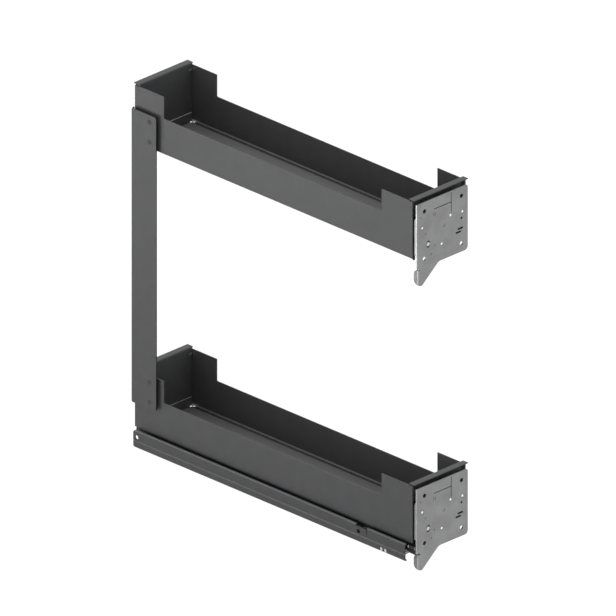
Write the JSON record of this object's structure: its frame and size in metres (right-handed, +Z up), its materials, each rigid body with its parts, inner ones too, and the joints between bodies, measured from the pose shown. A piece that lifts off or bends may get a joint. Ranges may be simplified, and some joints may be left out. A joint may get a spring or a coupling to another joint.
{
  "type": "pull-out spice rack",
  "caption": "Narrow pull-out spice rack for a base cabinet: two folded steel trays on a rear bar, a full-extension ball runner for one side wall and adjustable brackets for the door.",
  "frame": {"origin": "middle of the runner's two wall-screw holes, on the rail's face against the cabinet wall", "axes": "+X away from the left cabinet wall, across the rack; +Y to the rear of the cabinet, so the rack is pulled out along -Y; +Z up"},
  "size_m": [0.0992, 0.4869, 0.5024],
  "materials": {
    "anthracite": "matte powder coat",
    "black_steel": "black coat, satin",
    "zinc": "zinc-plated, satin",
    "black_plastic": "matte",
    "steel": "bright",
    "mat": "matte"
  },
  "bodies": {
    "cabinet_runner": {"wall_rail": "anthracite", "lower_channel": "zinc", "rear_buffer": "black_plastic"},
    "outer_cage": {"outer_ball_cage": "black_plastic", "outer_balls": "steel"},
    "middle": {"middle_member": "zinc"},
    "inner_cage": {"inner_ball_cage": "black_plastic", "inner_balls": "steel"},
    "carriage": {"drawer_member": "anthracite", "runner_rivets": "steel", "front_catch": "black_plastic", "catch_pin": "steel", "lower_tray": "anthracite", "lower_rear_panel": "anthracite", "lower_front_panel": "anthracite", "lower_mat": "mat", "upper_tray": "anthracite", "upper_rear_panel": "anthracite", "upper_front_panel": "anthracite", "upper_mat": "mat", "rear_bar": "anthracite", "bar_spacers": "black_plastic", "bar_rivets": "anthracite", "lower_clamp_screws": "steel", "upper_clamp_screws": "steel", "lower_clamp_nuts": "steel", "upper_clamp_nuts": "steel"},
    "lever": {"catch_lever": "steel"},
    "lower_base": {"lower_bracket_base": "black_steel"},
    "lower_plate": {"lower_front_plate": "zinc", "lower_plate_studs": "zinc"},
    "lower_cam": {"lower_height_cam": "steel"},
    "upper_base": {"upper_bracket_base": "black_steel"},
    "upper_plate": {"upper_front_plate": "zinc", "upper_plate_studs": "zinc"},
    "upper_cam": {"upper_height_cam": "steel"}
  },
  "joints": [
    {"name": "pull_out", "type": "slide", "parent": "cabinet_runner", "child": "carriage", "axis": [0, -1, 0], "range_m": [0, 0.44]},
    {"name": "middle_slide", "type": "slide", "parent": "cabinet_runner", "child": "middle", "axis": [0, -1, 0], "range_m": [0, 0.22]},
    {"name": "outer_cage_slide", "type": "slide", "parent": "cabinet_runner", "child": "outer_cage", "axis": [0, -1, 0], "range_m": [0, 0.11]},
    {"name": "inner_cage_slide", "type": "slide", "parent": "cabinet_runner", "child": "inner_cage", "axis": [0, -1, 0], "range_m": [0, 0.33]},
    {"name": "catch_lever_turn", "type": "hinge", "parent": "carriage", "child": "lever", "pos_m": [0.01505, -0.2631, -0.001], "axis": [0, 0, 1], "range_deg": [0, 8], "stiffness_Nm_per_rad": 0.02, "springref_deg": -5.73},
    {"name": "lower_side_adjust", "type": "slide", "parent": "carriage", "child": "lower_base", "axis": [1, 0, 0], "range_m": [-0.0015, 0.0015]},
    {"name": "lower_height_adjust", "type": "slide", "parent": "lower_base", "child": "lower_plate", "axis": [0, 0, 1], "range_m": [-0.002, 0.002]},
    {"name": "lower_cam_turn", "type": "hinge", "parent": "lower_base", "child": "lower_cam", "pos_m": [0.02925, -0.28, 0.0241], "axis": [0, 1, 0], "range_deg": [-95, 95]},
    {"name": "upper_side_adjust", "type": "slide", "parent": "carriage", "child": "upper_base", "axis": [1, 0, 0], "range_m": [-0.0015, 0.0015]},
    {"name": "upper_height_adjust", "type": "slide", "parent": "upper_base", "child": "upper_plate", "axis": [0, 0, 1], "range_m": [-0.002, 0.002]},
    {"name": "upper_cam_turn", "type": "hinge", "parent": "upper_base", "child": "upper_cam", "pos_m": [0.02925, -0.28, 0.4081], "axis": [0, 1, 0], "range_deg": [-95, 95]}
  ],
  "couplings": [
    {"joint": "middle_slide", "follows": "pull_out", "ratio": 0.5},
    {"joint": "outer_cage_slide", "follows": "pull_out", "ratio": 0.25},
    {"joint": "inner_cage_slide", "follows": "pull_out", "ratio": 0.75},
    {"joint": "lower_cam_turn", "follows": "lower_height_adjust", "rad_per_m": 785.4},
    {"joint": "upper_cam_turn", "follows": "upper_height_adjust", "rad_per_m": 785.4}
  ]
}
